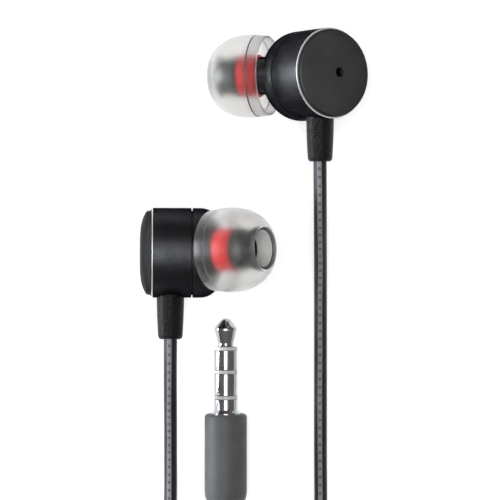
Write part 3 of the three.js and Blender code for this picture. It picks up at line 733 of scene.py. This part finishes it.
def housing_profile():
    """A spigot for the barrel, a seam, and a round shoulder that closes over the nozzle's root."""
    flange = BARREL_END + SEAM_WIDTH
    shoulder_radius = BARREL_RADIUS - HOUSING_CORNER_RADIUS
    shoulder = arc(HOUSING_CORNER_START, shoulder_radius, HOUSING_CORNER_RADIUS, 90, 0, 14)
    spigot = [(SPIGOT_START, HOUSING_BORE), (SPIGOT_START, SPIGOT_RADIUS), (flange, SPIGOT_RADIUS)]
    edge = rounded([(flange, 6.2), (flange, BARREL_RADIUS, 0.12), shoulder[0]], 4)[:-1]
    inside = [(9.9, 2.9), (9.9, 0.4), (8.9, 0.4), (8.9, 3.2), (8.4, 4.2), (7.9, 4.7), (7.9, HOUSING_BORE)]
    return spigot + edge + shoulder + inside


def nozzle_profile():
    """A collar, a neck that the tip slides on, a lip that holds it, and a seat for the screen."""
    seat = NOZZLE_BORE + SCREEN_SEAT
    return rounded([
        (NOZZLE_START, NOZZLE_BORE), (NOZZLE_START, NOZZLE_COLLAR_RADIUS),
        (NOZZLE_COLLAR_END, NOZZLE_COLLAR_RADIUS, 0.18), (NOZZLE_COLLAR_END, NOZZLE_RADIUS, 0.1),
        (NOZZLE_END - 0.6, NOZZLE_RADIUS, 0.1), (NOZZLE_END - 0.35, NOZZLE_LIP_RADIUS, 0.08),
        (NOZZLE_END, NOZZLE_LIP_RADIUS, 0.12), (NOZZLE_END, seat, 0.05), (NOZZLE_END - SCREEN_SEAT, seat),
        (NOZZLE_END - SCREEN_SEAT, NOZZLE_BORE),
    ], 3)


def boot_profile():
    end = BARREL_RADIUS + BOOT_LENGTH
    return rounded([
        (BOOT_START, BOOT_BORE), (BOOT_START, BOOT_TOP_RADIUS - 0.02),
        (BARREL_RADIUS + 2.5, BOOT_TOP_RADIUS - 0.08, 1.2), (end, BOOT_END_RADIUS, 0.75),
        (end, BOOT_BORE + 0.1, 0.08), (end - 0.7, BOOT_BORE),
    ], 6)


def build_bud(side):
    bud, nozzle = bud_places(side)
    ring = rounded([
        (RING_START, RING_BORE), (RING_START, RING_RADIUS, 0.11), (RING_END, RING_RADIUS, 0.03),
        (RING_END, RING_BORE),
    ], 4)
    turned = (
        ("cap", cap_profile(), "matt_cap", "rear_cap"), ("ring", ring, "bright_metal", "trim_ring"),
        ("shell", barrel_profile(), "anodised", "barrel"),
        ("front", housing_profile(), "anodised", "front_housing"),
    )
    for name, profile, slot, node in turned:
        piece = lathe(f"{side}_{name}", profile, bud, "earphones", segments=BODY_SEGMENTS)
        dress(piece, slot, f"{side}_{node}")
    neck = lathe(f"{side}_nozzle", nozzle_profile(), nozzle, "earphones", segments=NECK_SEGMENTS)
    dress(neck, "anodised", f"{side}_front_housing")
    hang = bud @ Matrix.Translation(Vector((STEM_ALONG, 0, 0)) * MM) @ Matrix.Rotation(-math.pi / 2, 4, "Z")
    boot = lathe(f"{side}_boot", boot_profile(), hang, "earphones", segments=NECK_SEGMENTS)
    dress(boot, "soft_black", f"{side}_strain_relief")
    build_tip(side, nozzle, f"{side}_eartip")


# ---------------------------------------------------------------- ear tips

TIP_LENGTH = 8.5
TIP_RADIUS = 5.98
TIP_RIM_RADIUS = 5.76
TIP_WIDEST = 2.3
TIP_CREASE = 1.6
TIP_BORE = 2.35
TIP_CORE_RADIUS = 3.0
TIP_MOUTH_RADIUS = 2.8
TIP_MOUTH_ALONG = 8.1
TIP_OUTER_LENGTH, TIP_INNER_LENGTH = 6.6, 5.9
TIP_NOSE_POWER = 2.6
TIP_LIP_START, TIP_INNER_END, TIP_WALL = 8.2, 7.35, 0.5
# Where the painted crease shade lies, in mm.
CREASE_SHADE_HALF_WIDTH, CREASE_SHADE_DEPTH = 0.08, 0.28
GREY_LIP_START, GREY_LIP_RADIUS = 7.45, 3.06
LINING_START, LINING_RADIUS = 5.75, TIP_MOUTH_RADIUS - 0.22
TIP_STEPS, TIP_INNER_STEPS = 30, 19
TIP_SMOOTH_ANGLE = 50
BAND_START, BAND_END, BAND_RADIUS = 1.35, 4.0, 3.1


def nose(radius, length, along):
    """The radius of a blunt dome that closes length ahead of its widest place."""
    return radius * max(0.0, 1 - ((along - TIP_WIDEST) / length) ** TIP_NOSE_POWER) ** (1 / TIP_NOSE_POWER)


def mark_faces(piece, place, material_index, chosen):
    """Gives one of the piece's further materials to the faces whose (along, radius) middle is chosen."""
    to_local = place.inverted()
    for face in piece.data.polygons:
        spot = to_local @ face.center / MM
        if chosen(spot.x, math.hypot(spot.y, spot.z)):
            face.material_index = material_index


def dome_profile():
    """A skirt with a crease, a blunt dome, a rolled lip at the mouth, and the dome's inside."""
    skirt = rounded([
        (0, TIP_RIM_RADIUS - 0.3, 0.1), (0, TIP_RIM_RADIUS, 0.14),
        (TIP_CREASE - 0.1, TIP_RADIUS - 0.09, 0.04), (TIP_CREASE, TIP_RADIUS - 0.24, 0.04),
        (TIP_CREASE + 0.1, TIP_RADIUS - 0.02, 0.04),
    ], 3)[:-1]
    outside = []
    for i in range(TIP_STEPS + 1):
        along = TIP_WIDEST + (TIP_LIP_START - TIP_WIDEST) * math.sin(math.pi / 2 * i / TIP_STEPS)
        outside.append((along, nose(TIP_RADIUS, TIP_OUTER_LENGTH, along)))
    lip = rounded([
        outside[-1], (TIP_LENGTH, 3.1, 0.3), (TIP_MOUTH_ALONG, TIP_MOUTH_RADIUS + 0.06, 0.2),
        (7.4, TIP_MOUTH_RADIUS + 0.06),
    ], 5)[1:]
    inside = []
    for i in range(TIP_INNER_STEPS + 1):
        along = TIP_INNER_END + (TIP_WIDEST - TIP_INNER_END) * i / TIP_INNER_STEPS
        inside.append((along, nose(TIP_RADIUS - TIP_WALL, TIP_INNER_LENGTH, along)))
    return skirt + outside + lip + inside


def core_profile():
    """A tube from the band to the mouth, which grips the nozzle with its bore."""
    return rounded([
        (BAND_END + 0.05, TIP_BORE), (BAND_END + 0.05, TIP_CORE_RADIUS, 0.05), (5.1, TIP_CORE_RADIUS, 0.6),
        (5.95, TIP_CORE_RADIUS - 0.37, 0.5), (6.7, TIP_CORE_RADIUS - 0.34, 0.5),
        (7.35, TIP_MOUTH_RADIUS - 0.03, 0.3), (TIP_MOUTH_ALONG, TIP_MOUTH_RADIUS, 0.14),
        (TIP_MOUTH_ALONG - 0.08, TIP_MOUTH_RADIUS - 0.3, 0.14), (6.2, TIP_BORE + 0.03, 0.3),
        (5.7, TIP_BORE, 0.2),
    ], 5)


def build_tip(side, nozzle, body):
    place = nozzle @ Matrix.Translation(Vector((TIP_REAR * MM, 0, 0)))
    dome = lathe(f"{side}_dome", dome_profile(), place, body, segments=128, smooth_angle=TIP_SMOOTH_ANGLE)
    dress(dome, "silicone_clear", f"{side}_eartip_dome")
    dome.data.materials.append(MATERIALS["silicone_crease_shade_and_lip"])
    dome.data.materials.append(MATERIALS["silicone_skirt"])
    # Painted shade: a darker opaque line along the dome's crease.
    mark_faces(dome, place, 1, lambda along, radius: (
        abs(along - TIP_CREASE) < CREASE_SHADE_HALF_WIDTH and radius > TIP_RADIUS - CREASE_SHADE_DEPTH))
    # The lip round the mouth is given the same grey.
    mark_faces(dome, place, 1, lambda along, radius: along > GREY_LIP_START and radius < GREY_LIP_RADIUS)
    # Painted shade: the skirt behind the crease takes the greyer silicone.
    mark_faces(dome, place, 2, lambda along, radius: along < TIP_CREASE - CREASE_SHADE_HALF_WIDTH)

    core = lathe(f"{side}_core", core_profile(), place, body, smooth_angle=TIP_SMOOTH_ANGLE)
    dress(core, "silicone_grey", f"{side}_eartip_core")
    core.data.materials.append(MATERIALS["silicone_lining"])
    mark_faces(core, place, 1, lambda along, radius: along > LINING_START and radius < LINING_RADIUS)
    band = rounded([
        (BAND_START, TIP_BORE), (BAND_START, BAND_RADIUS, 0.18), (BAND_END, BAND_RADIUS, 0.06),
        (BAND_END, TIP_BORE),
    ], 4)
    dress(lathe(f"{side}_band", band, place, body), "silicone_red", f"{side}_eartip_band")


for bud_side in ("right", "left"):
    build_bud(bud_side)

# ---------------------------------------------------------------- plug

JACK_RADIUS = 1.75
JACK_LENGTH = 14.0
JACK_STATIONS = {
    "sleeve": (0.15, 2.2), "insulator_rear": (2.2, 2.7), "ring_two": (2.7, 5.95),
    "insulator_middle": (5.95, 6.45), "ring_one": (6.45, 9.35), "insulator_front": (9.35, 9.85),
    "tip": (9.85, JACK_LENGTH),
}
GRIP_RADIUS, GRIP_LENGTH, GRIP_TAPER = 3.1, 11.9, 2.9
RELIEF_RADIUS, RELIEF_LENGTH = 2.12, 8.0
RELIEF_SLOTS, RELIEF_PITCH, SLOT_WIDTH, SPINE_HALF = 4, 1.7, 0.75, 1.05
FLARE_RADIUS = 2.12
CONTACT_BORE, CONTACT_SEGMENTS = 1.15, 72
STEM_BORE, STEM_RADIUS = 0.62, 1.1
SOLID_CORE = 0.02
FACE_GAP = 0.03

low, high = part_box("plug_grip")
PLUG_SHOULDER = Vector(((low.x + high.x) / 2, high.y, (low.z + high.z) / 2))
PLUG_PLACE = frame_on(PLUG_SHOULDER, Vector((0, 1, 0)), Vector((-1, 0, 0)))


def contact(name, profile, slot="nickel"):
    piece = lathe(f"jack_{name}", profile, PLUG_PLACE, "earphones", segments=CONTACT_SEGMENTS)
    return dress(piece, slot, f"plug_{name}")


def build_jack():
    """The tip, the two rings, the insulators with the stems that part them, and the sleeve."""
    start, end = JACK_STATIONS["tip"]
    pieces = [contact("tip", [(-3.0, SOLID_CORE), (-3.0, 0.55), (start + FACE_GAP, 0.55)] + rounded([
        (start + FACE_GAP, 1.25, 0.06), (start + 0.35, 1.12, 0.3), (start + 2.3, JACK_RADIUS - 0.1, 0.4),
        (start + 2.7, JACK_RADIUS - 0.01, 0.4), (end - 0.75, 1.22, 0.5), (end - 0.18, 0.66, 0.3),
        (end, 0.3, 0.12), (end, SOLID_CORE),
    ], 4))]
    for name in ("ring_one", "ring_two"):
        start, end = JACK_STATIONS[name]
        pieces.append(contact(name, rounded([
            (start + FACE_GAP, CONTACT_BORE), (start + FACE_GAP, JACK_RADIUS, 0.07),
            (end - FACE_GAP, JACK_RADIUS, 0.07), (end - FACE_GAP, CONTACT_BORE),
        ], 3)))
    tails = {
        "insulator_front": JACK_STATIONS["ring_one"][0], "insulator_middle": JACK_STATIONS["ring_two"][0],
        "insulator_rear": -2.4,
    }
    for name, tail in tails.items():
        start, end = JACK_STATIONS[name]
        stem = [(tail + FACE_GAP, STEM_BORE), (tail + FACE_GAP, STEM_RADIUS), (start, STEM_RADIUS)]
        washer = rounded([(start, JACK_RADIUS - 0.03, 0.03), (end, JACK_RADIUS - 0.03, 0.03)], 2)
        pieces.append(contact(name, stem + washer + [(end, STEM_BORE)], "insulator"))
    start, end = JACK_STATIONS["sleeve"]
    pieces.append(contact("sleeve", rounded([
        (-2.5, CONTACT_BORE), (-2.5, JACK_RADIUS - 0.1), (-0.3, JACK_RADIUS - 0.1), (-0.3, FLARE_RADIUS),
        (start, FLARE_RADIUS, 0.08), (start + 0.45, JACK_RADIUS, 0.12), (end - FACE_GAP, JACK_RADIUS, 0.07),
        (end - FACE_GAP, CONTACT_BORE),
    ], 3)))
    return pieces


def build_grip():
    """The grip, its taper, and the strain relief with slots that leave a spine."""
    taper_start = -GRIP_LENGTH
    relief_start = taper_start - GRIP_TAPER
    relief_end = relief_start - RELIEF_LENGTH
    slots = [relief_start - 1.0 - i * RELIEF_PITCH for i in range(RELIEF_SLOTS)]
    edges = sorted(at + side * SLOT_WIDTH / 2 for at in slots for side in (-1, 1))
    relief = [(relief_end + 1.2, CORD_RADIUS + 0.06), (relief_end, CORD_RADIUS + 0.06)]
    relief += rounded([
        (relief_end, RELIEF_RADIUS - 0.06, 0.35), (relief_end + 0.5, RELIEF_RADIUS - 0.04),
    ], 4)[:-1]
    for edge in edges:
        relief += [(edge - 0.02, RELIEF_RADIUS - 0.01), (edge + 0.02, RELIEF_RADIUS - 0.01)]
    socket_radius = JACK_RADIUS + 0.05
    grip = relief + rounded([
        (relief_start, RELIEF_RADIUS, 0.5), (taper_start - 1.1, GRIP_RADIUS - 0.42, 0.9),
        (taper_start, GRIP_RADIUS, 0.8), (-0.28, GRIP_RADIUS, 0.08), (0, GRIP_RADIUS - 0.27, 0.08),
        (0, 2.22, 0.05), (-0.4, 2.22), (-0.4, socket_radius), (-3.2, socket_radius), (-3.2, SOLID_CORE),
        (relief_end + 1.2, SOLID_CORE),
    ], 5)

    def slotted(along, y, z):
        if any(abs(along - at) < SLOT_WIDTH / 2 for at in slots):
            y = max(-SPINE_HALF, min(SPINE_HALF, y))
        return y, z

    piece = lathe(
        "plug_body", grip, PLUG_PLACE, "earphones", segments=BODY_SEGMENTS, section=slotted, smooth_angle=30)
    return dress(piece, "grip", "plug_grip")


PLUG_PIECES = build_jack() + [build_grip()]

# ---------------------------------------------------------------- in-line remote

REMOTE_LENGTH, REMOTE_WIDTH, REMOTE_HALF_HEIGHT = 28, 7.2, 2.65
BUTTON_LENGTH, BUTTON_WIDTH = 9, 3.6
WALL = 0.7
PORT_ALONG, PORT_START = 9.2, 1.96
SLEEVE_START, SLEEVE_RADIUS = 13.3, 1.65

low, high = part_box("remote_bottom_shell")
REMOTE_PLACE = Matrix.Translation(((low.x + high.x) / 2, (low.y + high.y) / 2, high.z + 0.03 * MM))


def stack(name, levels, place, body, closed=False):
    """Stadium rings of (length, width, height) skinned into one piece."""
    return loft(name, [stadium(length, width, z, place) for length, width, z in levels], body, closed=closed)


def inset_levels(length, width, outline):
    """Levels from rounded (inset, height) points."""
    return [(length - 2 * inset, width - 2 * inset, z) for inset, z in outline]


def build_shells():
    """The two halves of the remote, with the button's opening in the upper one."""
    half = REMOTE_HALF_HEIGHT
    roof = half - WALL
    room_width = REMOTE_WIDTH - 2 * WALL
    top = inset_levels(REMOTE_LENGTH, REMOTE_WIDTH, rounded([
        (0.05, 0.03), (0, 0.12, 0.06), (0, half, 1.15), (1.2, half),
    ], 8)[:-1])
    hole = [
        (BUTTON_LENGTH + 0.55, BUTTON_WIDTH + 0.55, half),
        (BUTTON_LENGTH + 0.3, BUTTON_WIDTH + 0.3, half - 0.14),
        (BUTTON_LENGTH + 0.3, BUTTON_WIDTH + 0.3, roof),
    ]
    inside = [
        (REMOTE_LENGTH - 2.8, room_width - 0.4, roof), (REMOTE_LENGTH - 2.4, room_width, roof - 0.3),
        (REMOTE_LENGTH - 2.4, room_width, 0.03),
    ]
    upper = stack("remote_upper", top + hole + inside, REMOTE_PLACE, "earphones", closed=True)
    dress(upper, "remote_plastic", "remote_top_shell")
    floor = [(REMOTE_LENGTH - 2.8, room_width - 0.4, -roof)]
    floor += [(length, width, -z) for length, width, z in (inside[1], inside[2])]
    outside = [(length, width, -z) for length, width, z in top]
    lower = stack("remote_lower", floor + outside, REMOTE_PLACE, "earphones")
    return [upper, dress(lower, "remote_plastic", "remote_bottom_shell")]


def build_key():
    """The button, with the flange that keeps it in."""
    top = REMOTE_HALF_HEIGHT + 0.54
    flange_length, flange_width = BUTTON_LENGTH + 0.98, BUTTON_WIDTH + 0.88
    levels = [
        (flange_length, flange_width, 1.52), (flange_length, flange_width, 1.88),
        (BUTTON_LENGTH, BUTTON_WIDTH, 1.9),
    ]
    levels += inset_levels(BUTTON_LENGTH, BUTTON_WIDTH, rounded([
        (0, 2.2), (0, top, 0.35), (0.7, top, 0.3), (1.3, REMOTE_HALF_HEIGHT + 0.44),
    ], 5))
    return dress(stack("remote_key_cap", levels, REMOTE_PLACE, "remote_key"), "grip", "remote_button")


def build_remote():
    pieces = build_shells() + [build_key()]
    half = REMOTE_HALF_HEIGHT
    port_place = REMOTE_PLACE @ Matrix.Translation(Vector((PORT_ALONG, 0, 0)) * MM)
    upright = port_place @ Matrix.Rotation(-math.pi / 2, 4, "Y")
    port = rounded([
        (PORT_START, 0.35), (PORT_START, 0.9), (half - 0.05, 0.9), (half, 0.78, 0.06),
        (half - 0.12, 0.5, 0.05), (PORT_START + 0.2, 0.35),
    ], 3)
    piece = lathe("remote_microphone_port", port, upright, "earphones", segments=48)
    pieces.append(dress(piece, "remote_plastic"))
    sleeve_end = REMOTE_LENGTH / 2 + 0.1
    for name, turn in (("upper", math.pi), ("lower", 0)):
        sleeve = rounded([
            (SLEEVE_START, CORD_RADIUS + 0.02), (SLEEVE_START, SLEEVE_RADIUS),
            (sleeve_end, SLEEVE_RADIUS, 0.3), (sleeve_end, CORD_RADIUS + 0.02, 0.1),
        ], 4)
        place = REMOTE_PLACE @ Matrix.Rotation(turn, 4, "Z")
        piece = lathe(f"remote_sleeve_{name}", sleeve, place, "earphones", segments=56)
        pieces.append(dress(piece, "soft_black"))
    return pieces


REMOTE_PIECES = build_remote()

# ---------------------------------------------------------------- splitter

low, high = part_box("splitter_body")
SPLITTER_CENTRE = (low + high) / 2
SPLITTER_WIDTH, SPLITTER_LENGTH, SPLITTER_HEIGHT = (high - low) / MM


def build_splitter():
    """A flattened pod along Y, with a shallow waist line round its middle."""
    place = Matrix.Translation(SPLITTER_CENTRE) @ Matrix.Rotation(math.pi / 2, 4, "Z")
    half = SPLITTER_HEIGHT / 2
    side = rounded([
        (0.9, -half), (0, -half, 0.95), (0, -0.12, 0.05), (0.09, 0, 0.05), (0, 0.12, 0.05),
        (0, half, 0.95), (0.9, half),
    ], 7)
    piece = stack("splitter", inset_levels(SPLITTER_LENGTH, SPLITTER_WIDTH, side), place, "earphones")
    return dress(piece, "remote_plastic", "splitter_body")


SPLITTER = build_splitter()

# ---------------------------------------------------------------- cord tie

TIE_ANGLE = math.radians(200)
TIE_WIDTH = 4.0
TIE_THICKNESS = 0.38
COIL_INNER, COIL_OUTER, COIL_BOTTOM, COIL_TOP = 7.5, 15.35, 0.55, 10.4


def build_tie():
    """A closed strap round the coil's section."""
    left, right = COIL_INNER - 0.42, COIL_OUTER + 0.12
    bottom, top = COIL_BOTTOM - 0.12, COIL_TOP + 0.12
    inner = rounded([(left, bottom, 1.0), (right, bottom, 1.0), (right, top, 1.0), (left, top, 1.0)], 8)
    half = TIE_WIDTH / 2
    strip = rounded([
        (0, -half, 0.08), (TIE_THICKNESS, -half, 0.12), (TIE_THICKNESS, half, 0.12), (0, half, 0.08),
    ], 3)
    turn = Matrix.Translation(COIL_CENTRE * MM) @ Matrix.Rotation(TIE_ANGLE, 4, "Z")
    centre = Vector(((left + right) / 2, (bottom + top) / 2))
    rings = []
    for i, point in enumerate(inner):
        here = Vector(point)
        ahead = (Vector(inner[(i + 1) % len(inner)]) - Vector(inner[i - 1])).normalized()
        outward = Vector((ahead.y, -ahead.x))
        if outward.dot(here - centre) < 0:
            outward = -outward
        rings.append([turn @ (Vector((*(here + outward * out), 0)).xzy * MM + Vector((0, across * MM, 0)))
                      for out, across in strip])
    return dress(loft("tie", rings, "earphones", closed=True, smooth_angle=40), "soft_black", "cord_tie")


TIE = build_tie()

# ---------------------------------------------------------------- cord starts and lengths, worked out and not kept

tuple(LEFT_LINE[0])
line_length(LEFT_LINE)
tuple(RIGHT_UPPER_LINE[0])
line_length(RIGHT_UPPER_LINE)
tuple(RIGHT_LOWER_LINE[0])
line_length(RIGHT_LOWER_LINE)
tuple(MAIN_LINE[0])
line_length(MAIN_LINE)

# ---------------------------------------------------------------- floor and light


FLOOR_HALF_SIZE = 1.2
WORLD_STRENGTH = 0.16


def pale_floor():
    half = FLOOR_HALF_SIZE
    corners = [(-half, -half, 0), (half, -half, 0), (half, half, 0), (-half, half, 0)]
    mesh = bpy.data.meshes.new("floor")
    mesh.from_pydata(corners, [], [(0, 1, 2, 3)])
    floor = bpy.data.objects.new("floor", mesh)
    bpy.context.scene.collection.objects.link(floor)
    finish = Finish(
        "pale_floor", roughness=0.9, specular_ior_level=0.1, emission_color=(1, 1, 1, 1),
        emission_strength=0.55,
    )
    finish.colour(finish.patches(0.02, (0.9, 0.9, 0.9), (0.92, 0.92, 0.92)))
    mesh.materials.append(finish.material)


def soft_box(name, centre, aim, width, height, radiance, tint=(1, 1, 1)):
    """A rectangular light in metres. radiance is what it looks like from the object."""
    data = bpy.data.lights.new(name, "AREA")
    data.shape = "RECTANGLE"
    data.size, data.size_y = width, height
    data.energy = radiance * math.pi * width * height
    data.color = tint
    light = bpy.data.objects.new(name, data)
    light.location = centre
    light.rotation_euler = (Vector(aim) - Vector(centre)).to_track_quat("-Z", "Y").to_euler()
    bpy.context.scene.collection.objects.link(light)


pale_floor()
bpy.context.scene.view_settings.view_transform = "Standard"
world = bpy.data.worlds.new("studio")
world.use_nodes = True
sky = world.node_tree.nodes["Background"]
sky.inputs["Color"].default_value = (1, 1, 1, 1)
sky.inputs["Strength"].default_value = WORLD_STRENGTH
bpy.context.scene.world = world

soft_box("overhead", centre=(0, -0.01, 0.8), aim=(0, -0.01, 0), width=0.34, height=0.62, radiance=4.6)
soft_box(
    "left_strip", centre=(-0.75, 0.016, 0.1), aim=(0, 0.016, 0.01), width=0.36, height=0.3, radiance=20.0,
    tint=(0.93, 0.965, 1.0),
)
